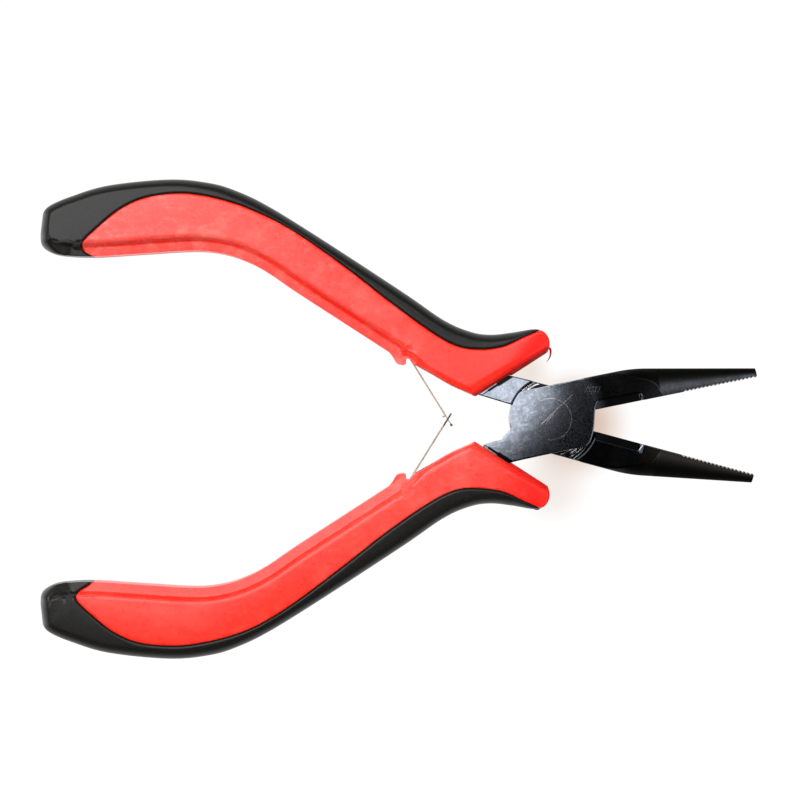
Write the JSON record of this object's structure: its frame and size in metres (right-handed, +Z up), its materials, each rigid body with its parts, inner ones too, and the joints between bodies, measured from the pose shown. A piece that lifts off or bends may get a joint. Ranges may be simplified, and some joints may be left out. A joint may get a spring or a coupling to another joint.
{
  "type": "spring-return long nose pliers",
  "caption": "Small lap-joint pliers with long half-round serrated jaws, a side cutter, two-shot curved grips and hooked leaf springs.",
  "frame": {"origin": "centre of the open pliers' bounding box, on the surface that the grips lie on", "axes": "+X along the handles' middle line towards the jaws, +Y towards the handle that swings, +Z up along the joint axis"},
  "size_m": [0.125, 0.0832, 0.011],
  "materials": {
    "blackened_steel": "blackened forged steel, satin, with fine scratches",
    "rivet_steel": "blackened steel ground flush with the joint",
    "red_plastic": "fine matte texture",
    "black_rubber": "soft matte overmould",
    "spring_steel": "plain spring strip with a bronze tint"
  },
  "bodies": {
    "lower_handle": {"jaw_half_top": "blackened_steel", "joint_rivet": "rivet_steel", "lower_grip_body": "red_plastic", "lower_grip_overmould": "black_rubber"},
    "upper_handle": {"jaw_half_bottom": "blackened_steel", "upper_grip_body": "red_plastic", "upper_grip_overmould": "black_rubber"},
    "upper_leaf": {"upper_spring_leaf": "spring_steel"},
    "lower_leaf": {"lower_spring_leaf": "spring_steel"}
  },
  "joints": [
    {"name": "jaw_pivot", "type": "hinge", "parent": "lower_handle", "child": "upper_handle", "pos_m": [0.02639, 0, 0.0055], "axis": [0, 0, 1], "range_deg": [0, 26.4], "stiffness_Nm_per_rad": 0.5},
    {"name": "upper_leaf_flex", "type": "hinge", "parent": "upper_handle", "child": "upper_leaf", "pos_m": [0.00141, 0.01145, 0.0055], "axis": [0, 0, 1], "range_deg": [0, 21.7]},
    {"name": "lower_leaf_flex", "type": "hinge", "parent": "lower_handle", "child": "lower_leaf", "pos_m": [0.00141, -0.01145, 0.0055], "axis": [0, 0, -1], "range_deg": [0, 21.7]}
  ],
  "couplings": [
    {"joint": "upper_leaf_flex", "follows": "jaw_pivot", "ratio": 0.82},
    {"joint": "lower_leaf_flex", "follows": "jaw_pivot", "ratio": 0.82}
  ]
}
